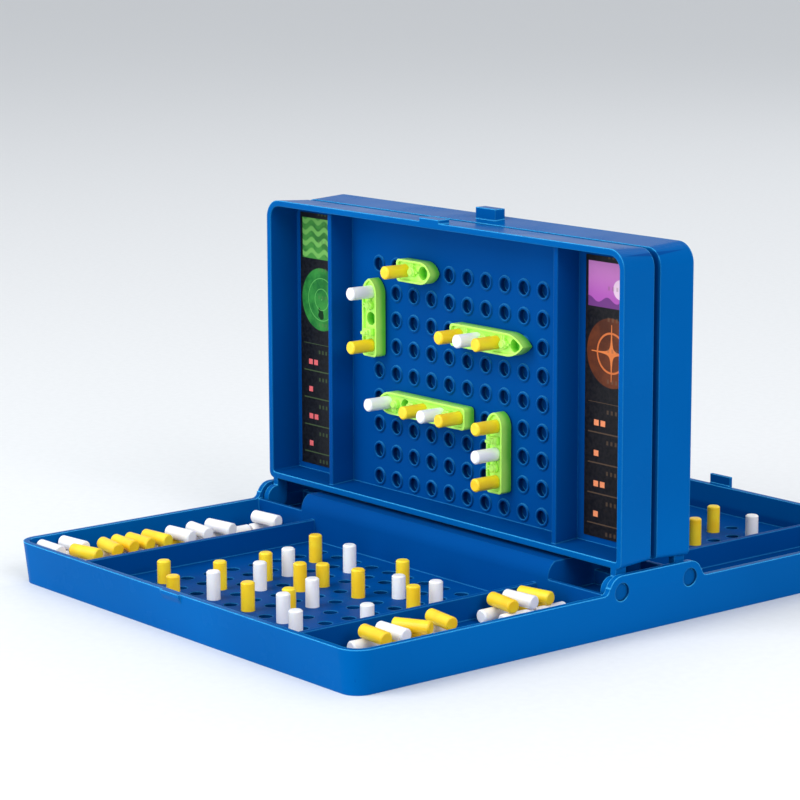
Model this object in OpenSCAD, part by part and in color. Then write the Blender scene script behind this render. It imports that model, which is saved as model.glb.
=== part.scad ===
// Fleet guessing case: one long double tray with two upright peg-board lids,
// their ships, the pegs in the boards and the loose pegs in the side bins.
// X runs along the hinges, -Y is the front player, Z is up.
// Origin: middle of the underside of the double tray.

/* [Tray] */
// Length along the hinges, at the rim
case_w = 197; // [164:0.1:237]
// Depth of one tray, from the middle to its rim
tray_d = 130.5; // [108:0.1:157]
// Height of the rim
wall_h = 15.2; // [14:0.1:18]
// Wall thickness
wall_t = 2.2; // [1.8:0.01:2.7]
// How far the outer wall leans in for each mm of height
draft = 0.11; // [0:0.01:0.15]
// Radius of the upright corners
corner_r = 8; // [5:0.5:12]
// Top of the pegged floor
floor_z = 5; // [4.5:0.1:6]
// Thickness of the floor
floor_t = 1.8; // [1.4:0.1:2.4]
// Width of a side bin, from the rim to the middle of its partition
bin_w = 36.5; // [28:0.5:44]
// Thickness of the partitions
partition_t = 2; // [1.6:0.1:3]
// How far the partitions stay below the rim
partition_drop = 2.2; // [1:0.1:4]

/* [Hinge] */
// Distance of each hinge axis from the middle
hinge_y = 16; // [15.6:0.1:17.4]
// Height of the hinge axes above the rim
axis_rise = 0.3; // [0.2:0.05:0.6]
// Radius of the lugs round the pivots
lug_r = 5.7; // [5:0.1:6.4]
// Pivot pin diameter
pin_d = 6.2; // [5.1:0.01:7.5]
// Running clearance round a pin, on the radius
pin_gap = 0.08; // [0.03:0.01:0.1]
// Thickness of a hinge ear of the lid
ear_t = 2.6; // [2:0.1:3.5]
// Room between the spine and a lid that swings round it
spine_gap = 0.6; // [0.4:0.1:1]
// How far the raised middle of the spine runs past the partitions
spine_past = 7; // [2:0.5:9]

/* [Lid] */
// How far the free edge of the closed lid passes the rim of the tray
lid_over = 0.3; // [0:0.1:0.6]
// Distance from the hinge axis to the lower edge of the lid
lid_start = 7.3; // [6.6:0.1:8.5]
// Depth of the lid tray
lid_t = 14.6; // [13.6:0.1:15.2]
// How much narrower the lid is than the case, at each end
lid_inset = 0.8; // [0.4:0.1:1.5]
// Thickness of the peg panel
panel_t = 2.3; // [1.8:0.1:3]
// Radius of the lid corners
lid_corner_r = 7; // [5:0.5:9]
// Radius of the lid corners next to the hinge
lid_foot_r = 2.5; // [1:0.1:4]
// Skin left behind the holes of the lid
lid_skin = 0.5; // [0.4:0.1:0.8]
// Distance of the lid's finger tab from the middle
tab_x = 2; // [0:0.5:6]

/* [Grid] */
// Columns of holes
cols = 10; // [10:1:10]
// Most rows of holes; a shallower case has fewer
most_rows = 9; // [8:1:9]
// Distance between holes
pitch = 10; // [9.8:0.1:10.2]
// Hole diameter
hole_d = 4.9; // [4.05:0.01:5.9]
// Diameter of the raised ring round a panel hole
ring_d = 6.4; // [6:0.1:7.4]
// Height of the raised ring
ring_h = 0.5; // [0.3:0.1:1]
// First tray row, from the middle of the case
tray_row = 32.3; // [31:0.1:34]
// First lid row, from the hinge axis
lid_row = 14.4; // [13:0.1:16]

/* [Pegs] */
// Clearance round a peg or a ship's spigot, on the radius
peg_gap = 0.05; // [0.02:0.01:0.1]
// Peg length
peg_l = 13.3; // [11:0.1:13.6]
// How far below the rim a standing peg ends
peg_drop = 0.1; // [0.05:0.05:0.5]

/* [Ships] */
// Width of a hull
ship_w = 8.2; // [7.4:0.1:8.8]
// Height of the deck above the lid panel
deck_z = 4.2; // [4:0.1:4.6]
// Depth of a peg hole in the deck
deck_hole = 3.3; // [2.8:0.1:3.4]

/* [Cards] */
// Thickness of a picture card
card_t = 0.4; // [0.3:0.05:0.8]
// Bare strip between a card and the partition
card_in = 3.7; // [0.5:0.1:5]
// Bare strip between a card and the end wall of the lid
card_out = 2.2; // [0.8:0.1:4]

/* [Hidden] */
$fn = 64;
e = 0.01;
blue = [0.03, 0.42, 0.75];
green = [0.55, 0.82, 0.3];
yellow = [1.0, 0.78, 0.14];
white = [0.95, 0.95, 0.96];
card_black = [0.06, 0.06, 0.07];
seat = 0.02;
half_w = case_w / 2;
axis_z = wall_h + axis_rise;
plateau_z = axis_z + lug_r;
lug_fillet = 2.4;
lid_half = half_w - lid_inset;
lid_bottom = axis_z + lid_start;
lid_reach = tray_d - hinge_y + lid_over;
lid_top = axis_z + lid_reach;
lid_back = hinge_y - lid_t;
panel_y = lid_back + panel_t;
lid_draft = 0.06;
ear_gap = 1;
ear_r = 4.6;
ear_x = half_w - wall_t - ear_gap;
pin_short = 1;
spine_r = lid_start - spine_gap;
spine_y = hinge_y + spine_r;
pocket_wall = 1.6;
pocket_z = axis_z - ear_r - 0.6;
peg_d = hole_d - 2 * peg_gap;
peg_chamfer = 0.45;
peg_tip = wall_h - peg_drop;
peg_cut = 1.9;
hole_margin = 3;
rows = min(most_rows, 1 + floor((tray_d - wall_t - hole_margin - tray_row) / pitch));
row_end = rows - 1;
field_half = (cols - 1) / 2 * pitch + 6.8;
partition_x = max(half_w - bin_w, field_half);
bin_in = partition_x + partition_t / 2;
bin_room = half_w - wall_t - draft * wall_h - bin_in;
bulwark_t = 0.8;
bulwark_h = 0.9;
hull_w = max(ship_w, hole_d + 3.2);
ring = max(ring_d, hole_d + 1.2);
spine_x = partition_x + spine_past;
rest_h = floor_z + peg_d / 2;
catch_w = 10.6;

// ---- shared shapes ----

// Block with rounded upright corners whose walls lean in towards z = 0.
// hx, hy and r hold at the height ref.
module leaning_block(hx, hy, r, z0, z1, slope, ref) {
    cx = hx - r;
    cy = hy - r;
    r0 = r - slope * (ref - z0);
    r1 = r - slope * (ref - z1);
    translate([-cx, 0, 0])
        rotate([90, 0, 90])
            linear_extrude(2 * cx)
                polygon([[-cy - r0, z0], [cy + r0, z0], [cy + r1, z1], [-cy - r1, z1]]);
    translate([0, cy, 0])
        rotate([90, 0, 0])
            linear_extrude(2 * cy)
                polygon([[-cx - r0, z0], [cx + r0, z0], [cx + r1, z1], [-cx - r1, z1]]);
    for (sx = [-1, 1], sy = [-1, 1])
        translate([sx * cx, sy * cy, z0])
            cylinder(h = z1 - z0, r1 = r0, r2 = r1);
}

// Copies the front half to the rear, where everything is turned half a turn.
module both_halves() {
    children();
    rotate([0, 0, 180]) children();
}

function col_x(i) = (i - (cols - 1) / 2) * pitch;
function tray_y(k) = -tray_row - k * pitch;
function lid_z(j) = axis_z + lid_row + j * pitch;

// Row that a piece takes: the last one where the case has fewer rows.
function row_at(n) = min(n, row_end);

// ---- double tray ----

module tray_shell() {
    difference() {
        leaning_block(half_w, tray_d, corner_r, 0, wall_h, draft, wall_h);
        leaning_block(half_w - wall_t, tray_d - wall_t, corner_r - wall_t,
            floor_z, wall_h + 1, draft, wall_h);
        leaning_block(half_w - wall_t, tray_d - wall_t, corner_r - wall_t,
            -1, floor_z - floor_t, draft, wall_h);
    }
}

module tray_partitions() {
    for (sx = [-1, 1])
        translate([sx * partition_x - partition_t / 2, -tray_d + wall_t, floor_z - e])
            cube([partition_t, tray_d - wall_t, wall_h - partition_drop - floor_z + e]);
}

// Outline of the raised hinge plateau, seen along X: two round lugs,
// the flat between them, and a fillet down to the rim at each side.
module plateau_outline() {
    for (s = [-1, 1]) {
        translate([s * hinge_y, axis_z])
            circle(lug_r);
        difference() {
            translate([s > 0 ? hinge_y : -hinge_y - lug_r - lug_fillet, wall_h - 1])
                square([lug_r + lug_fillet, lug_fillet + 1]);
            translate([s * (hinge_y + lug_r + lug_fillet), wall_h + lug_fillet])
                circle(lug_fillet);
        }
    }
    translate([-hinge_y, wall_h - 1])
        square([2 * hinge_y, plateau_z - wall_h + 1]);
}

module hinge_plateaus() {
    cut = lug_r + lug_fillet + hinge_y;
    for (sx = [-1, 1])
        translate([sx > 0 ? half_w - wall_t : -half_w, 0, 0])
            rotate([90, 0, 90])
                linear_extrude(wall_t)
                    intersection() {
                        plateau_outline();
                        translate([-cut, wall_h - e])
                            square([2 * cut, lug_r * 2]);
                    }
}

// Section of the raised spine: its shoulders run round the hinge axes.
module spine_outline(t) {
    intersection() {
        union() {
            for (s = [-1, 1])
                translate([s * hinge_y, axis_z])
                    circle(spine_r - t);
            translate([-hinge_y, -1])
                square([2 * hinge_y, plateau_z + 2]);
            translate([-spine_y + t, -1])
                square([2 * (spine_y - t), axis_z + 1]);
        }
        translate([-spine_y, -1])
            square([2 * spine_y, plateau_z + 1 - (t > 0 ? floor_t : 0)]);
    }
}

// Keeps children between the end walls, however these lean.
module within_walls(inset) {
    intersection() {
        children();
        leaning_block(half_w - inset, tray_d - inset, corner_r - inset,
            0, wall_h, draft, wall_h);
    }
}

// Spine between the two trays: raised in the middle, at rim height at both ends.
module spine() {
    translate([-spine_x, 0, 0])
        rotate([90, 0, 90])
            linear_extrude(2 * spine_x)
                intersection() {
                    spine_outline(0);
                    translate([-spine_y, 0])
                        square([2 * spine_y, plateau_z]);
                }
    within_walls(wall_t / 2)
        translate([-half_w, -spine_y, 0])
            cube([case_w, 2 * spine_y, wall_h]);
}

// What is moulded out of the spine from below.
module spine_hollow() {
    inner_x = spine_x - wall_t;
    end_x = half_w - wall_t - draft * wall_h - 0.2;
    translate([-inner_x, 0, 0])
        rotate([90, 0, 90])
            linear_extrude(2 * inner_x)
                spine_outline(wall_t);
    translate([-end_x, -spine_y + wall_t, -1])
        cube([2 * end_x, 2 * (spine_y - wall_t), pocket_z - floor_t + 1]);
}

// Pockets at both ends of the spine, in which the ears of the lids turn.
module hinge_pockets() {
    for (sx = [-1, 1])
        intersection() {
            translate([sx > 0 ? spine_x : -half_w, -spine_y + pocket_wall, pocket_z])
                cube([half_w - spine_x, spine_y - pocket_wall - partition_t / 2,
                    wall_h - pocket_z + 1]);
            leaning_block(half_w - wall_t - 0.05, tray_d, corner_r,
                pocket_z - 1, wall_h + 0.4, draft, wall_h);
        }
}

// Rib under the spine; its lower edge stands on the table with the walls.
module middle_web() {
    web_w = 2 * (half_w - wall_t / 2 - draft * wall_h);
    translate([-web_w / 2, -partition_t / 2, 0])
        cube([web_w, partition_t, pocket_z]);
    translate([-spine_x + e, -partition_t / 2, 0])
        cube([2 * (spine_x - e), partition_t, plateau_z - floor_t + e]);
}

// Low wedge under the rim, over which the tab of the closed lid snaps.
module front_catch() {
    pad_t = 0.9;
    pad_h = 3.2;
    translate([-catch_w / 2, -tray_d, wall_h])
        rotate([90, 0, 90])
            linear_extrude(catch_w)
                polygon([[0.8, 0], [-pad_t, 0], [-pad_t, -1.2],
                    [draft * pad_h, -pad_h], [0.8, -pad_h]]);
}

module rear_catch() {
    hook_t = 1.3;
    hook_y = tray_d + 0.8;
    hook_h = 3.5;
    root_h = 6;
    translate([-catch_w / 2, tray_d - wall_t / 2, wall_h - root_h])
        cube([catch_w, hook_y + hook_t - tray_d + wall_t / 2, root_h]);
    translate([-catch_w / 2, hook_y, wall_h - e])
        cube([catch_w, hook_t, hook_h]);
}

module tray_holes() {
    for (i = [0 : cols - 1], k = [0 : rows - 1])
        translate([col_x(i), tray_y(k), floor_z - floor_t - 1])
            cylinder(h = floor_t + 2, d = hole_d);
}

module pivot_holes() {
    for (sx = [-1, 1])
        translate([sx * half_w, -hinge_y, axis_z])
            rotate([0, 90, 0])
                cylinder(h = 4 * wall_t, d = pin_d + 2 * pin_gap, center = true);
}

module double_tray() {
    color(blue)
        union() {
            difference() {
                union() {
                    tray_shell();
                    both_halves() tray_partitions();
                    spine();
                    hinge_plateaus();
                    front_catch();
                    rear_catch();
                }
                spine_hollow();
                both_halves() {
                    hinge_pockets();
                    tray_holes();
                    pivot_holes();
                }
            }
            middle_web();
        }
}

// ---- lids ----

// Block of the lid's outline, with its rim plane at y = -hinge_y: large corners at
// the free edge, small ones next to the hinge.
module lid_block(inset, y_back) {
    hz = (lid_top - lid_bottom) / 2;
    y_rim = hinge_y + (inset > 0 ? 1 : 0);
    translate([0, 0, lid_bottom + hz])
        rotate([90, 0, 0]) {
            leaning_block(lid_half - inset, hz - inset, lid_corner_r - inset,
                -y_back, y_rim, lid_draft, hinge_y);
            translate([0, (inset - hz) / 2, 0])
                leaning_block(lid_half - inset, (hz - inset) / 2,
                    max(lid_foot_r - inset, 1), -y_back, y_rim, lid_draft, hinge_y);
        }
}

module lid_partitions() {
    inner_h = lid_top - lid_bottom - 2 * wall_t + 1;
    for (sx = [-1, 1])
        translate([sx * partition_x - partition_t / 2, -hinge_y + partition_drop,
                lid_bottom + wall_t - 0.5])
            cube([partition_t, hinge_y - partition_drop - panel_y + e, inner_h]);
}

module at_lid_holes() {
    for (i = [0 : cols - 1], j = [0 : rows - 1])
        translate([col_x(i), -panel_y, lid_z(j)])
            rotate([90, 0, 0])
                children();
}

module hinge_ears() {
    for (sx = [-1, 1]) {
        translate([sx > 0 ? ear_x - ear_t : -ear_x, 0, 0])
            rotate([90, 0, 90])
                linear_extrude(ear_t) {
                    translate([-hinge_y, axis_z])
                        circle(ear_r);
                    translate([-hinge_y, axis_z])
                        square([ear_r, lid_start + wall_t / 2]);
                }
        translate([sx * (ear_x - ear_t / 2), -hinge_y, axis_z])
            rotate([0, sx * 90, 0])
                cylinder(h = half_w - ear_x + ear_t / 2 - pin_short, d = pin_d);
    }
}

module lid(tab_h, tab_y, tab_l) {
    difference() {
        union() {
            difference() {
                lid_block(0, -lid_back);
                lid_block(wall_t, -panel_y);
            }
            lid_partitions();
            at_lid_holes()
                translate([0, 0, -e])
                    cylinder(h = ring_h + e, d = ring);
            hinge_ears();
            translate([-catch_w / 2 - tab_x, -tab_y, lid_top - wall_t])
                cube([catch_w, tab_l, wall_t + tab_h]);
        }
        at_lid_holes()
            translate([0, 0, lid_skin - panel_t])
                cylinder(h = panel_t + ring_h + 1, d = hole_d);
    }
}

module front_lid() {
    color(blue)
        lid(1.2, hinge_y, 5);
}

module rear_lid() {
    color(blue)
        rotate([0, 0, 180])
            lid(3.6, hinge_y - 4.4, 4.5);
}

// ---- picture cards ----

module card(sx) {
    end_gap = 3;
    x0 = bin_in + card_in;
    x1 = lid_half - wall_t - lid_draft * lid_t - card_out;
    z0 = lid_bottom + wall_t + end_gap;
    z1 = lid_top - wall_t - end_gap;
    color(card_black)
        translate([sx > 0 ? x0 : -x1, -panel_y - seat - card_t, z0])
            cube([x1 - x0, card_t, z1 - z0]);
}

module front_left_card() {
    card(-1);
}

module front_right_card() {
    card(1);
}

module rear_left_card() {
    rotate([0, 0, 180]) card(-1);
}

module rear_right_card() {
    rotate([0, 0, 180]) card(1);
}

// ---- ships ----

// Ship outline with its first cell at the origin and the bow towards +X.
module ship_outline(cells, bow, inset) {
    w = hull_w / 2 - inset;
    stern = -pitch / 2 + 0.9 + inset;
    shoulder = (cells - 1) * pitch + pitch / 2 - bow;
    tip = bow - inset;
    r = (tip * tip + w * w) / (2 * w);
    corner = 1.6;
    translate([stern, -w + corner])
        square([shoulder - stern, 2 * w - 2 * corner]);
    translate([stern + corner, -w])
        square([shoulder - stern - corner, 2 * w]);
    for (s = [-1, 1])
        translate([stern + corner, s * (w - corner)])
            circle(corner);
    intersection() {
        translate([shoulder, w - r])
            circle(r);
        translate([shoulder, r - w])
            circle(r);
        translate([shoulder - e, -w])
            square([tip + 1, 2 * w]);
    }
}

// Deckhouse, funnel and gun between two cells; they leave the peg holes free.
module deck_gear(cells, style) {
    for (n = [0 : cells - 2]) {
        x = (n + 0.5) * pitch;
        if ((n + style) % 2 == 0)
            translate([x - 1.5, -2, deck_z - e]) {
                cube([3, 4, 1.5]);
                translate([0.6, 0.8, 1.5 - e])
                    cube([1.8, 2.4, 1]);
            }
        else
            translate([x, 0, deck_z - e]) {
                cylinder(h = 1.2, d = 3.4);
                translate([0, -0.45, 0.3])
                    cube([3, 0.9, 0.7]);
            }
    }
}

module ship(cells, bow, style) {
    keel = ring_h + peg_gap;
    spigot = panel_t - lid_skin - 0.1;
    color(green)
        difference() {
            union() {
                translate([0, 0, keel])
                    linear_extrude(deck_z + bulwark_h - keel)
                        ship_outline(cells, bow, 0);
                for (n = [0, cells - 1])
                    translate([n * pitch, 0, -spigot])
                        cylinder(h = spigot + keel + e, d = peg_d);
            }
            difference() {
                translate([0, 0, deck_z])
                    linear_extrude(bulwark_h + 1)
                        ship_outline(cells, bow, bulwark_t);
                deck_gear(cells, style);
            }
            for (n = [0 : cells - 1])
                translate([n * pitch, 0, deck_z - deck_hole])
                    cylinder(h = deck_hole + 4, d = hole_d);
        }
}

// Places children on the front lid: first cell at column i and row j,
// bow turned by angle, local Z pointing at the player.
module on_lid(i, j, angle) {
    translate([col_x(i), -panel_y, lid_z(j)])
        rotate([90, 0, 0])
            rotate([0, 0, angle])
                children();
}

// Cells, bow length, deck style, and place of the first cell with its heading.
launch_at = [2, 8, 0];
corvette_at = [0, 5, 90];
cruiser_at = [5, 6, 0];
carrier_at = [5, 3, 180];
frigate_at = [7, 1, 90];
rear_launch_at = [1, 1, 0];
rear_corvette_at = [8, 3, 90];
rear_cruiser_at = [2, 5, 90];
rear_carrier_at = [4, 7, 0];
rear_frigate_at = [4, 2, 0];

module put(at) {
    on_lid(at[0], row_at(at[1]), at[2])
        children();
}

module launch() {
    put(launch_at) ship(2, 6, 1);
}

module corvette() {
    put(corvette_at) ship(3, 6, 0);
}

module cruiser() {
    put(cruiser_at) ship(4, 9, 1);
}

module carrier() {
    put(carrier_at) ship(5, 7, 0);
}

module frigate() {
    put(frigate_at) ship(3, 5, 1);
}

module rear_launch() {
    rotate([0, 0, 180]) put(rear_launch_at) ship(2, 6, 1);
}

module rear_corvette() {
    rotate([0, 0, 180]) put(rear_corvette_at) ship(3, 6, 0);
}

module rear_cruiser() {
    rotate([0, 0, 180]) put(rear_cruiser_at) ship(4, 9, 1);
}

module rear_carrier() {
    rotate([0, 0, 180]) put(rear_carrier_at) ship(5, 7, 0);
}

module rear_frigate() {
    rotate([0, 0, 180]) put(rear_frigate_at) ship(3, 5, 1);
}

// ---- pegs ----

// Peg standing on the origin.
module peg(l = peg_l) {
    r = peg_d / 2;
    c = peg_chamfer;
    rotate_extrude()
        polygon([[0, 0], [r - c, 0], [r, c], [r, l - c], [r - c, l], [0, l]]);
}

// Pegs in the deck holes of a ship, by cell.
module ship_pegs(at, cells) {
    put(at)
        for (n = cells)
            translate([n * pitch, 0, deck_z - deck_hole + seat])
                peg();
}

module launch_yellow_peg() {
    color(yellow) ship_pegs(launch_at, [0]);
}

module corvette_white_peg() {
    color(white) ship_pegs(corvette_at, [2]);
}

module corvette_yellow_peg() {
    color(yellow) ship_pegs(corvette_at, [0]);
}

module cruiser_white_peg() {
    color(white) ship_pegs(cruiser_at, [1]);
}

module cruiser_yellow_pegs() {
    color(yellow) ship_pegs(cruiser_at, [0, 2]);
}

module carrier_white_pegs() {
    color(white) ship_pegs(carrier_at, [1, 4]);
}

module carrier_yellow_pegs() {
    color(yellow) ship_pegs(carrier_at, [0, 2]);
}

module frigate_white_peg() {
    color(white) ship_pegs(frigate_at, [1]);
}

module frigate_yellow_pegs() {
    color(yellow) ship_pegs(frigate_at, [0, 2]);
}

// Standing pegs of the front tray: each entry is [column, row, how much its tip is
// cut short]. A peg is cut where the closed lid brings a ship's peg over it.
module standing_pegs(list) {
    for (p = list)
        translate([col_x(p[0]), tray_y(row_at(p[1])), peg_tip - peg_l])
            peg(peg_l - p[2]);
}

module front_yellow_pegs() {
    color(yellow)
        standing_pegs([[0, 7, peg_cut], [2, 8, peg_cut], [2, 6, 0], [5, 7, 0],
            [2, 4, 0], [6, 6, peg_cut], [4, 4, 0], [1, 1, 0], [4, 3, peg_cut],
            [6, 3, 0], [6, 1, 0], [9, 3, 0]]);
}

module front_white_pegs() {
    color(white)
        standing_pegs([[3, 7, 0], [3, 5, 0], [2, 3, 0], [7, 7, 0], [6, 5, 0],
            [9, 8, 0], [3, 1, 0], [9, 5, 3], [7, 2, peg_cut], [9, 2, 0]]);
}

module rear_yellow_pegs() {
    color(yellow)
        rotate([0, 0, 180])
            standing_pegs([[1, 5, 0], [2, 7, 0]]);
}

module rear_white_peg() {
    color(white)
        rotate([0, 0, 180])
            standing_pegs([[0, 7, 0]]);
}

// Loose pegs of one bin: [distance from the partition, distance from the middle,
// heading, layer]. They lie flat, the second layer on the first, spread out where
// the pegs are thicker, and those for which the bin has no room are left out.
module loose_pegs(sx, list) {
    listed_d = 4.8;
    listed_room = 31.6;
    spread = max(1, peg_d / listed_d);
    in_x = min(spread, bin_room / listed_room);
    last = tray_d - wall_t - draft * wall_h - 0.5;
    for (p = list)
        if (p[1] * spread + abs(sin(p[2])) * peg_l / 2 + peg_d / 2 < last)
            translate([sx * (bin_in + p[0] * in_x), -p[1] * spread,
                    rest_h + seat + p[3] * (peg_d + seat)])
                rotate([0, 0, p[2]])
                    rotate([0, 90, 0])
                        translate([0, 0, -peg_l / 2])
                            peg();
}

module left_bin_white_pegs() {
    color(white)
        loose_pegs(-1, [[9, 116.4, 88, 0], [9.2, 88, 87, 0], [8.8, 73.6, 93, 0],
            [9, 59.3, 90, 0], [9.2, 31, 91, 0], [19, 116, 92, 0], [19.2, 101.6, 89, 0],
            [19, 87.3, 91, 0], [18.8, 58.8, 88, 0], [19, 44.6, 92, 0], [19.2, 30.4, 90, 0],
            [27.6, 116, 90, 0], [25.2, 121.8, 0, 1], [25.4, 111.8, 6, 1],
            [13.8, 72.8, 6, 1], [14.2, 64, -5, 1], [14, 54.6, 8, 1], [13.6, 33.5, 6, 1]]);
}

module left_bin_yellow_pegs() {
    color(yellow)
        loose_pegs(-1, [[8.8, 102.2, 92, 0], [19, 73, 90, 0], [9, 45.2, 89, 0],
            [12.6, 115, 12, 1], [14.4, 103.4, -8, 1], [14.8, 96.8, -3, 1],
            [14.3, 90.6, 3, 1], [14.6, 82.9, 6, 1]]);
}

module right_bin_white_pegs() {
    color(white)
        loose_pegs(1, [[9, 104, 88, 0], [9.2, 75, 90, 0], [19, 102, 90, 0],
            [18.8, 87.6, 92, 0], [6, 46.5, 92, 0], [15.4, 45, 88, 0], [15.6, 30.6, 90, 0],
            [15.6, 98.6, 2, 1], [11, 39.8, 5, 1]]);
}

module right_bin_yellow_pegs() {
    color(yellow)
        loose_pegs(1, [[9, 89.5, 92, 0], [19, 73.2, 88, 0], [6, 32, 90, 0],
            [14.8, 105.4, -4, 1], [14.2, 89.4, 28, 1], [14, 77, -8, 1],
            [10.6, 47.2, -8, 1], [10.4, 32.4, 10, 1]]);
}

double_tray();
front_lid();
rear_lid();
front_left_card();
front_right_card();
rear_left_card();
rear_right_card();
launch();
corvette();
cruiser();
carrier();
frigate();
rear_launch();
rear_corvette();
rear_cruiser();
rear_carrier();
rear_frigate();
launch_yellow_peg();
corvette_white_peg();
corvette_yellow_peg();
cruiser_white_peg();
cruiser_yellow_pegs();
carrier_white_pegs();
carrier_yellow_pegs();
frigate_white_peg();
frigate_yellow_pegs();
front_white_pegs();
front_yellow_pegs();
rear_white_peg();
rear_yellow_pegs();
left_bin_white_pegs();
left_bin_yellow_pegs();
right_bin_white_pegs();
right_bin_yellow_pegs();
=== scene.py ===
import bpy
from math import pi, radians
from mathutils import Matrix, Vector


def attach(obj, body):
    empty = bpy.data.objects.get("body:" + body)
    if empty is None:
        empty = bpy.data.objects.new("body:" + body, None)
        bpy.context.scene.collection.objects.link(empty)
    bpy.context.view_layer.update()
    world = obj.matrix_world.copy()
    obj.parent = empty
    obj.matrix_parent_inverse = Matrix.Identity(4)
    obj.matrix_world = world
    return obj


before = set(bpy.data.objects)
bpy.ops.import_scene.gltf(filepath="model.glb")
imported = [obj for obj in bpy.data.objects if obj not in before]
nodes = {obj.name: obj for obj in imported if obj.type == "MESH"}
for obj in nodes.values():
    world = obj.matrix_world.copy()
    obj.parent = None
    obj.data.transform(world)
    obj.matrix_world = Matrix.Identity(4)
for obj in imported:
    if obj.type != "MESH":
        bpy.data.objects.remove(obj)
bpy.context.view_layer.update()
bpy.ops.object.select_all(action="DESELECT")

# ---- double tray: the long base with both pegged fields and four side bins ----
# Injection-moulded polystyrene, deep blue right through, with a satin polish.
# The mould leaves faint flow marks; handling leaves fine scratches; the paler edges are a
# little wear but mostly a painted highlight, strongest along the tops.

MM = 0.001
hinge_out, hinge_up, pivot_radius = 16, 15.5, 3.24

class Tone:
    """One socket of a material's tree. Arithmetic on it adds the maths nodes."""

    def __init__(self, tree, socket):
        self.tree = tree
        self.socket = socket

    def node(self, kind, settings=None, out=0, **inputs):
        """Adds any other node: its settings first, then values or links by socket name."""
        made = self.tree.nodes.new(kind)
        for name, value in (settings or {}).items():
            setattr(made, name, value)
        for name, value in inputs.items():
            key = int(name[1:]) if name[0] == "_" else name.replace("_", " ")
            join(self.tree, made.inputs[key], value)
        return Tone(self.tree, made.outputs[out])

    def maths(self, kind, *values):
        return self.node("ShaderNodeMath", {"operation": kind},
                         **{"_%d" % i: v for i, v in enumerate(values)})

    def __add__(self, other):
        return self.maths("ADD", self, other)

    def __sub__(self, other):
        return self.maths("SUBTRACT", self, other)

    def __rsub__(self, other):
        return self.maths("SUBTRACT", other, self)

    def __mul__(self, other):
        return self.maths("MULTIPLY", self, other)

    __radd__ = __add__
    __rmul__ = __mul__

    def greater(self, other):
        return self.maths("MAXIMUM", self, other)

    def size(self):
        return self.maths("ABSOLUTE", self)

    def wave(self):
        return self.maths("SINE", self)

    def part(self):
        """What is left over after the whole number."""
        return self.maths("FRACT", self)

    def along(self, axis):
        """One coordinate of this place, in millimetres."""
        return self.node("ShaderNodeSeparateXYZ", out=axis, _0=self) * 1000.0

    def clear(self, low, high, start=0.0, end=1.0):
        """Smooth step from start to end while the value goes from low to high."""
        return self.node("ShaderNodeMapRange", {"interpolation_type": "SMOOTHSTEP"},
                         Value=self, From_Min=low, From_Max=high, To_Min=start, To_Max=end)

    def paint(self, below, above):
        """This value as a mask: colour below where it is 0, colour above where it is 1."""
        return self.node("ShaderNodeMix", {"data_type": "RGBA"}, out=2,
                         _0=self, _6=below, _7=above)

    def noise(self, scale, detail=3.0, rough=0.5):
        return self.node("ShaderNodeTexNoise", Vector=self, Scale=scale, Detail=detail,
                         Roughness=rough)


def join(tree, socket, value):
    """Sets a socket to a number, colour or direction, or links a tone to it."""
    if isinstance(value, Tone):
        tree.links.new(value.socket, socket)
    elif isinstance(value, tuple) and len(value) == 3 and len(socket.default_value) == 4:
        socket.default_value = (*value, 1)
    else:
        socket.default_value = value


def finish(name):
    """A new material: its shader, and the place on the piece as a tone."""
    material = bpy.data.materials.new(name)
    material.use_nodes = True
    tree = material.node_tree
    shader = tree.nodes["Principled BSDF"]
    place = Tone(tree, tree.nodes.new("ShaderNodeTexCoord").outputs["Object"])
    return material, shader, place


def coat(shader, **values):
    """Sets or links the shader's sockets."""
    for name, value in values.items():
        join(shader.id_data, shader.inputs[name.replace("_", " ")], value)


def wear_and_highlight_edges(place, radius):
    """The softened normal of a moulded edge, and a mask for its pale edge: a little wear, but
    mostly a painted highlight that is strongest where the edge faces up.
    """
    soft = place.node("ShaderNodeBevel", {"samples": 6}, Radius=radius)
    flat = place.node("ShaderNodeNewGeometry", out="True Normal")
    turn = place.node("ShaderNodeVectorMath", {"operation": "DOT_PRODUCT"}, out="Value",
                      _0=soft, _1=flat)
    own = place.node("ShaderNodeVectorTransform", {
        "vector_type": "NORMAL", "convert_from": "WORLD", "convert_to": "OBJECT"}, Vector=soft)
    top = place.node("ShaderNodeVectorMath", {"operation": "DOT_PRODUCT"}, out="Value",
                     _0=own, _1=(0, 0, 1))
    return soft, (1 - turn).clear(0.02, 0.2) * top.clear(0.1, 0.6, 0.22, 1.0)


def dress(material, *names):
    """Gives CAD nodes a material in place of their plain one."""
    for name in names:
        mesh = nodes[name].data
        mesh.materials.clear()
        mesh.materials.append(material)


def within(value, reach, blur=0.2):
    """Mask that is 1 where the value is nearer to nought than the reach."""
    return value.size().clear(reach - blur, reach, 1.0, 0.0)


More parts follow.
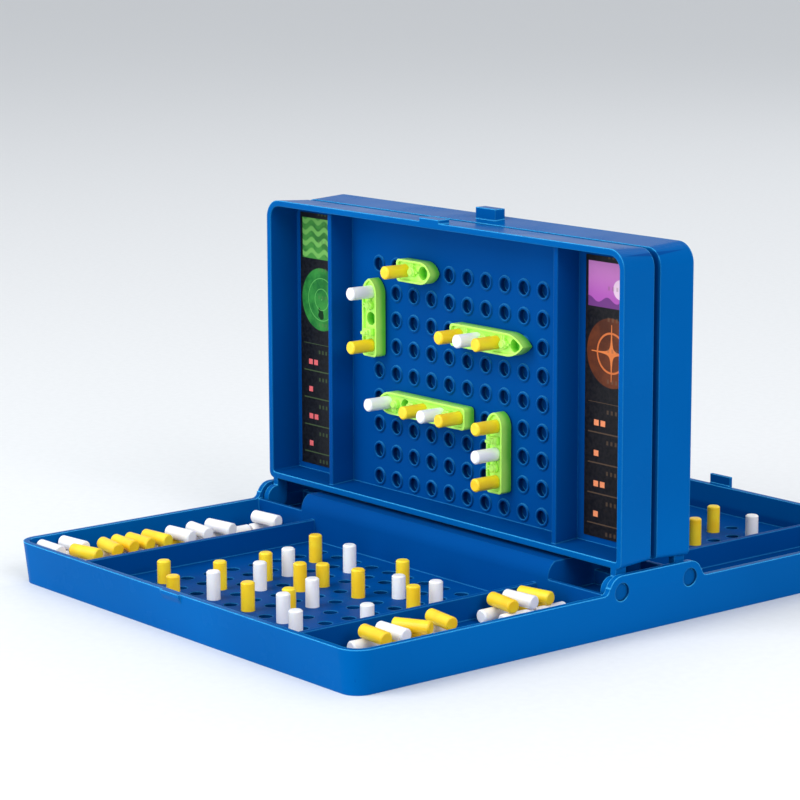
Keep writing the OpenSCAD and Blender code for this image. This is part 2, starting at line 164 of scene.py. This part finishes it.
def blue_plastic(name, matt_and_shaded_part, painted_hole_shade):
    """Satin outside; matt where the mould was spark-finished, and painted a darker blue there
    as shade in the recesses.
    """
    material, shader, place = finish(name)
    matt_and_shaded = matt_and_shaded_part(place)
    soft, wear_and_highlight = wear_and_highlight_edges(place, 0.8 * MM)
    flow = place.noise(14, 2).clear(0.3, 0.7)
    grain = place.noise(1400, 2)
    smear = place.noise(45, 4, 0.6)
    scratch = place.node("ShaderNodeTexNoise", Scale=90, Detail=4.0, Vector=place.node(
        "ShaderNodeMapping", Vector=place, Rotation=(0.3, 0.2, 0.7), Scale=(1.0, 9.0, 1.0)))
    satin = flow.paint((0.0, 0.088, 0.325), (0.0, 0.103, 0.37))
    # Painted shade: the recessed inside gets a darker copy of the blue.
    shaded_blue = flow.paint((0.0, 0.056, 0.25), (0.0, 0.067, 0.29))
    # Painted shade: holes and pivot holes are darkened toward a near-black blue.
    base = (painted_hole_shade(place) * 0.62).paint(matt_and_shaded.paint(satin, shaded_blue), (0.0, 0.012, 0.075))
    # Painted highlight: the edges are lightened to pale cyan, partly wear, and less so in the
    # recessed fields.
    base = (wear_and_highlight * (1 - matt_and_shaded * 0.65)).paint(base, (0.07, 0.54, 1.0))
    bump = place.node("ShaderNodeBump", Strength=0.09, Distance=0.0002, Normal=soft,
                      Height=grain * (matt_and_shaded + 1) + scratch * 0.7 + smear * 1.5)
    coat(shader, Base_Color=base, Normal=bump,
         Roughness=smear.clear(0.35, 0.75, 0.20, 0.32) + matt_and_shaded * 0.18)
    shader.inputs["Specular IOR Level"].default_value = 0.02
    shader.inputs["Specular Tint"].default_value = (0.08, 0.55, 1.0, 1)
    return material


# Where the tray is matt and painted darker as shade: its inside.
def tray_inside(place):
    return within(place.along(0), 95.4) * within(place.along(1), 127.6) * (
        place.along(2).clear(4.4, 4.7))


def pivots(place):
    """Inside the pivot holes at both ends of the two hinges."""
    out, back = place.along(0).size(), place.along(1).size() - hinge_out
    up = place.along(2) - hinge_up
    return out.clear(95, 95.4) * out.maths("SQRT", back * back + up * up).clear(
        pivot_radius, pivot_radius + 0.08, 1.0, 0.0) * out.clear(98.45, 98.6, 1.0, 0.0)


# Where shade is painted darkest on the tray: its floor holes and the pivot holes.
def tray_bores(place):
    return pivots(place).greater(within(place.along(0), 48.5) * within(
        place.along(2) - 4.1, 0.8) * within(place.along(1).size() - 72.5, 44))


dress(blue_plastic("moulded_blue_tray", tray_inside, tray_bores), "double_tray")

# ---- the two lids: upright peg boards, each a shallow tray on two pivot pins ----
# The same blue polystyrene from the same mould shop; the pins snap into the tray's
# end walls. The pegged panel stands between two plain strips for the picture cards.


# Where the lid is matt and painted darker as shade: its recessed field.
def lid_inside(place):
    return within(place.along(0), 95.7) * within(place.along(1), 15.6) * within(
        place.along(2) - 76.4, 51.8)


# Where shade is painted darkest on the lid: its blind holes, and half as much in the pivot
# holes.
def lid_bores(place):
    depth = place.along(1).size()
    bores = within(place.along(0), 49) * within(place.along(2) - 74.9, 49) * within(
        depth, 3.6) * depth.clear(1.6, 1.8)
    return bores.greater(pivots(place) * 0.5)


dress(blue_plastic("moulded_blue_lids", lid_inside, lid_bores), "front_lid", "rear_lid")

# ---- picture cards: printed strips in the side bays of the lids ----
# Thin varnished card, black, with a picture band, a round scope and four ruled rows
# of marks. Each is stuck flat on the lid's panel, clear of the walls round its bay.

card_middle = 79.5


def card_places(place):
    """Across the card from its middle, and up it, in millimetres."""
    return place.along(0).size() - card_middle, place.along(2)


def band(across, up):
    """Mask of the picture band at the top of a card."""
    return within(across, 11.6) * within(up - 115.5, 7.8)


def reach_from(across, up, height):
    """Distance from the middle of the scope."""
    rise = up - height
    return across.maths("SQRT", across * across + rise * rise)


def ruled_rows(base, across, up, rule, mark):
    """Four ruled rows with a square mark in each and a second one in every other."""
    first, step = 32.5, 10.6
    row = (up - first) * (1 / step)
    rise = row.part() * step
    inside = within(across, 11.2) * within(up - first - 2 * step, 2 * step + 0.3)
    line = (rise - 0.2).size().clear(0.15, 0.35, 1.0, 0.0) * inside
    pair = (row * 0.5).part().clear(0.49, 0.51)
    near = within(across + 7.0, 1.25) * within(rise - 3.6, 1.1)
    far = within(across + 3.8, 1.25) * within(rise - 3.6, 1.1) * pair
    bars = within(across - 3.0, 6.0) * within(rise - 7.8, 0.8)
    text = bars * (across * 3.1).wave().clear(-0.1, 0.2)
    base = (line * 0.5).paint(base, rule)
    base = (text * 0.35).paint(base, rule)
    return (near.greater(far) * within(up - first - 2 * step, 2 * step)).paint(base, mark)


def scope_card():
    material, shader, place = finish("printed_card_green")
    across, up = card_places(place)
    speck = place.noise(900, 2)
    ink = place.noise(160, 4, 0.6)
    base = speck.clear(0.3, 0.7).paint((0.004, 0.004, 0.006), (0.010, 0.011, 0.014))
    sea = (up * 1.5 + (across * 0.8).wave() * 1.4).wave().clear(-0.3, 0.6).paint(
        ink.clear(0.4, 0.6).paint((0.03, 0.16, 0.03), (0.06, 0.26, 0.045)), (0.16, 0.42, 0.09))
    base = band(across, up).paint(base, sea)
    reach = reach_from(across, up, 92.5)
    isle = place.noise(110, 3).clear(0.60, 0.62)
    glass = ink.clear(0.3, 0.7).paint((0.01, 0.13, 0.025), (0.04, 0.26, 0.045))
    glass = isle.paint(glass, (0.004, 0.03, 0.008))
    rings = (reach * 0.25).part()
    glass = (rings.clear(0.0, 0.1, 1.0, 0.0) * 0.7).paint(glass, (0.20, 0.62, 0.16))
    base = reach.clear(11.8, 12.1, 1.0, 0.0).paint(base, glass)
    base = ruled_rows(base, across * -1, up, (0.10, 0.16, 0.06), (0.75, 0.13, 0.14))
    coat(shader, Base_Color=base, Roughness=speck.clear(0.3, 0.7, 0.34, 0.44))
    shader.inputs["Specular IOR Level"].default_value = 0.15
    return material


def dusk_card():
    material, shader, place = finish("printed_card_orange")
    across, up = card_places(place)
    speck = place.noise(900, 2)
    ink = place.noise(140, 4, 0.6)
    base = speck.clear(0.3, 0.7).paint((0.004, 0.004, 0.006), (0.012, 0.010, 0.012))
    sky = up.clear(109, 122).paint((0.42, 0.09, 0.42), (0.60, 0.20, 0.52))
    sun = reach_from(across - 4.0, up, 114.5).clear(3.2, 3.5, 1.0, 0.0)
    sky = sun.paint(sky, (0.80, 0.55, 0.70))
    hill = up - 110.4 + (across * 0.7).wave() * 0.9
    sky = hill.clear(-0.1, 0.1, 1.0, 0.0).paint(sky, (0.16, 0.04, 0.20))
    base = band(across, up).paint(base, sky)
    reach = reach_from(across, up, 92.5)
    glass = ink.clear(0.3, 0.7).paint((0.07, 0.018, 0.008), (0.14, 0.034, 0.012))
    star = (across.size() * (up - 92.5).size()).clear(1.3, 1.9, 1.0, 0.0)
    glass = (star * reach.clear(9.6, 9.9, 1.0, 0.0)).paint(glass, (0.72, 0.19, 0.05))
    glass = within(reach - 6.8, 0.45).paint(glass, (0.62, 0.15, 0.04))
    base = reach.clear(11.8, 12.1, 1.0, 0.0).paint(base, glass)
    base = ruled_rows(base, across, up, (0.17, 0.10, 0.06), (0.88, 0.27, 0.12))
    coat(shader, Base_Color=base, Roughness=speck.clear(0.3, 0.7, 0.34, 0.44))
    shader.inputs["Specular IOR Level"].default_value = 0.15
    return material


dress(scope_card(), "front_left_card", "rear_left_card")
dress(dusk_card(), "front_right_card", "rear_right_card")

# ---- ships: green hulls plugged into the lid's holes ----
# Moulded green polystyrene, a little see-through, with a raised deck and fittings.
# Two round spigots under each hull press into the panel.


def green_plastic():
    shaded_green, lit_green = (0.12, 0.60, 0.03), (0.52, 0.98, 0.13)
    material, shader, place = finish("moulded_green")
    soft, wear_and_highlight = wear_and_highlight_edges(place, 0.35 * MM)
    cloud = place.noise(60, 3).clear(0.3, 0.7)
    grain = place.noise(1600, 2)
    # Painted light: the parts standing farthest from the panel, the deck, get a lighter green,
    # and the hull sides a darker, shaded green.
    lit_deck_mask = (place.along(1).size() * 0.12 + cloud * 0.12).clear(0.62, 1.02)
    # Painted highlight: the edges are lightened, most along the top, partly wear.
    base = (wear_and_highlight * 0.5).paint(lit_deck_mask.paint(shaded_green, lit_green), (0.62, 0.95, 0.28))
    bump = place.node("ShaderNodeBump", Strength=0.08, Distance=0.0002, Normal=soft,
                      Height=grain + cloud * 0.5)
    coat(shader, Base_Color=base, Normal=bump, Roughness=cloud.clear(0, 1, 0.3, 0.4))
    shader.inputs["Subsurface Weight"].default_value = 0.12
    shader.inputs["Subsurface Radius"].default_value = (0.3, 1.0, 0.15)
    shader.inputs["Subsurface Scale"].default_value = 0.0015
    return material


moulded_green = green_plastic()
dress(moulded_green, *[n for n in nodes if n.split("_")[-1] in
                       ("launch", "corvette", "cruiser", "carrier", "frigate")])

# ---- deck fittings of the ships: bridge houses and turning gun houses ----
# The same green polystyrene, moulded on the deck between the peg holes.
# A bridge house is a stepped block; a gun house is a low drum with two short barrels.

pitch, panel_face, deck_height = 10.0, 3.7, 4.2
first_row, first_column = 29.9, -45.0


def start(**settings):
    """Everything is deselected before a new primitive is added and its placement applied."""
    bpy.ops.object.select_all(action="DESELECT")
    kind = settings.pop("kind")
    getattr(bpy.ops.mesh, "primitive_%s_add" % kind)(**settings)
    piece = bpy.context.object
    bpy.ops.object.transform_apply(location=True, rotation=True, scale=True)
    return piece


def pick_top(piece):
    """Selects the highest faces of a piece and leaves it open in edit mode."""
    top = max(face.center.z for face in piece.data.polygons)
    for face in piece.data.polygons:
        face.select = face.center.z > top - 1e-5
    bpy.ops.object.mode_set(mode="EDIT")
    bpy.ops.mesh.select_mode(type="FACE")


def raise_top(piece, step_in, rise):
    """Steps the top of a piece in and up."""
    bpy.ops.object.mode_set(mode="EDIT")
    bpy.ops.mesh.select_all(action="DESELECT")
    bpy.ops.object.mode_set(mode="OBJECT")
    pick_top(piece)
    bpy.ops.mesh.inset(thickness=step_in * MM)
    bpy.ops.mesh.extrude_region_move(TRANSFORM_OT_translate={"value": (0, 0, rise * MM)})
    bpy.ops.object.mode_set(mode="OBJECT")


def soften(piece, width, steps=2):
    """Rounds the edges of a piece as its mould does."""
    bevel = piece.modifiers.new("rounding", "BEVEL")
    bevel.width = width * MM
    bevel.segments = steps
    bevel.limit_method = "ANGLE"
    bpy.context.view_layer.objects.active = piece
    bpy.ops.object.modifier_apply(modifier=bevel.name)
    bpy.ops.object.shade_smooth_by_angle(angle=radians(40))


def bridge_house():
    house = start(kind="cube", size=MM, location=(0, 0, 0.95 * MM), scale=(2.9, 4.2, 2.1))
    raise_top(house, 0.45, 1.1)
    raise_top(house, 0.45, 1.0)
    soften(house, 0.16)
    return house


def gun_house():
    drum = start(kind="cylinder", vertices=20, radius=1.75 * MM, depth=1.7 * MM,
                 location=(0, 0, 0.75 * MM))
    raise_top(drum, 0.45, 0.6)
    soften(drum, 0.14)
    for across in (-0.55, 0.55):
        barrel = start(kind="cylinder", vertices=10, radius=0.3 * MM, depth=2.6 * MM,
                       location=(across * MM, 2.0 * MM, 1.15 * MM), rotation=(pi / 2, 0, 0))
        soften(barrel, 0.06, 1)
        drum.select_set(True)
        bpy.context.view_layer.objects.active = drum
        bpy.ops.object.join()
    return drum


bridge, gun = bridge_house(), gun_house()

# Each ship: the hole its stern peg takes (column, row), heading, number of cells, and
# whether it starts with a bridge house (0) or a gun house (1).
fleet = {"launch": (2, 8, 0, 2, 1), "corvette": (0, 5, 90, 3, 0), "cruiser": (5, 6, 0, 4, 1),
         "carrier": (5, 3, 180, 5, 0), "frigate": (7, 1, 90, 3, 1),
         "rear_launch": (1, 1, 0, 2, 1), "rear_corvette": (8, 3, 90, 3, 0),
         "rear_cruiser": (2, 5, 90, 4, 1), "rear_carrier": (4, 7, 0, 5, 0),
         "rear_frigate": (4, 2, 0, 3, 1)}
for name, (column, row, heading, cells, style) in fleet.items():
    home = Matrix.Rotation(pi if name.startswith("rear") else 0, 4, "Z") @ Matrix.Translation(
        Vector((first_column + column * pitch, -panel_face, first_row + row * pitch)) * MM)
    home = home @ Matrix.Rotation(pi / 2, 4, "X") @ Matrix.Rotation(radians(heading), 4, "Z")
    bpy.ops.object.select_all(action="DESELECT")
    for n in range(cells - 1):
        model = bridge if (n + style) % 2 == 0 else gun
        fitting = model.copy()
        fitting.data = model.data.copy()
        bpy.context.scene.collection.objects.link(fitting)
        fitting.data.transform(home @ Matrix.Translation(
            Vector(((n + 0.5) * pitch, 0, deck_height)) * MM))
        fitting.select_set(True)
    bpy.context.view_layer.objects.active = fitting
    if cells > 2:
        bpy.ops.object.join()
    fitting.name = name + "_fittings"
    fitting.data.materials.clear()
    fitting.data.materials.append(moulded_green)
    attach(fitting, name)
for model in (bridge, gun):
    bpy.data.objects.remove(model)

# ---- pegs: hit and miss markers, plain moulded cylinders ----
# Yellow and white polyethylene, slightly waxy, with a softened rim at both ends.
# They push into the deck holes and the tray holes; the spare ones lie in the bins.


def peg_plastic(name, light, shade, wear_and_highlight_colour):
    material, shader, place = finish(name)
    soft, wear_and_highlight = wear_and_highlight_edges(place, 0.4 * MM)
    cloud = place.noise(120, 2).clear(0.3, 0.7)
    grain = place.noise(1500, 2)
    # Painted highlight: the edges are lightened, most along the top, partly wear.
    base = (wear_and_highlight * 0.4).paint(cloud.paint(shade, light), wear_and_highlight_colour)
    bump = place.node("ShaderNodeBump", Strength=0.06, Distance=0.0002, Normal=soft,
                      Height=grain)
    coat(shader, Base_Color=base, Normal=bump, Roughness=cloud.clear(0, 1, 0.32, 0.42))
    shader.inputs["Subsurface Weight"].default_value = 0.15
    shader.inputs["Subsurface Radius"].default_value = (1.0, 0.8, 0.5)
    shader.inputs["Subsurface Scale"].default_value = 0.0015
    return material


dress(peg_plastic("waxy_white", (0.94, 0.92, 0.94), (0.90, 0.88, 0.90), (0.97, 0.97, 0.98)),
      *[n for n in nodes if "white" in n])
dress(peg_plastic("waxy_yellow", (1.0, 0.72, 0.02), (1.0, 0.60, 0.01), (1.0, 0.85, 0.16)),
      *[n for n in nodes if "yellow" in n])

# ---- table, light and camera ----
# A plain pale table top under soft studio light: a large softbox in front and to the
# left, a small low one before the front wall, one at the right, a weak one behind,
# and a pale room all round.


def table_top():
    bpy.ops.mesh.primitive_plane_add(size=9, location=(0, 0, 0))
    table = bpy.context.object
    table.name = "table"
    material, shader, place = finish("pale_table")
    coat(shader, Base_Color=place.noise(300, 2).clear(0.3, 0.7).paint(
        (0.80, 0.81, 0.82), (0.82, 0.83, 0.84)), Roughness=0.6)
    table.data.materials.append(material)


def softbox(name, place, aim, width, power, tint=(1, 1, 1)):
    light = bpy.data.lights.new(name, "AREA")
    light.color = tint
    light.size = width
    light.energy = power
    lamp = bpy.data.objects.new(name, light)
    bpy.context.scene.collection.objects.link(lamp)
    lamp.location = place
    lamp.rotation_euler = (Vector(aim) - Vector(place)).to_track_quat("-Z", "Y").to_euler()


table_top()
softbox("key_softbox", (-0.5, -1.6, 1.5), (0, 0, 0.05), 1.2, 23)
softbox("low_softbox", (-0.05, -0.75, 0.13), (0, -0.13, 0.0), 0.45, 2.0, (0.80, 1, 1))
softbox("side_softbox", (1.7, -0.3, 1.1), (0, 0, 0.05), 1.0, 18)
softbox("back_softbox", (-0.3, 1.7, 1.3), (0, 0, 0.05), 1.0, 5)

room = bpy.data.worlds.new("pale_room")
bpy.context.scene.world = room
room.use_nodes = True
room.node_tree.nodes["Background"].inputs["Color"].default_value = (0.90, 0.93, 0.97, 1)
room.node_tree.nodes["Background"].inputs["Strength"].default_value = 0.72

eye = Vector((0.76105, -0.65472, 0.25346))
look = Vector((-0.76013, 0.62297, -0.18470))
head = Vector((-0.14099, 0.11936, 0.98279))
camera = bpy.data.cameras.new("camera")
camera.sensor_width = 36
camera.lens = 127.44
viewer = bpy.data.objects.new("camera", camera)
bpy.context.scene.collection.objects.link(viewer)
side = look.cross(head)
viewer.matrix_world = Matrix((side, head, -look)).transposed().to_4x4()
viewer.location = eye
bpy.context.scene.camera = viewer

bpy.context.scene.view_settings.view_transform = "Standard"
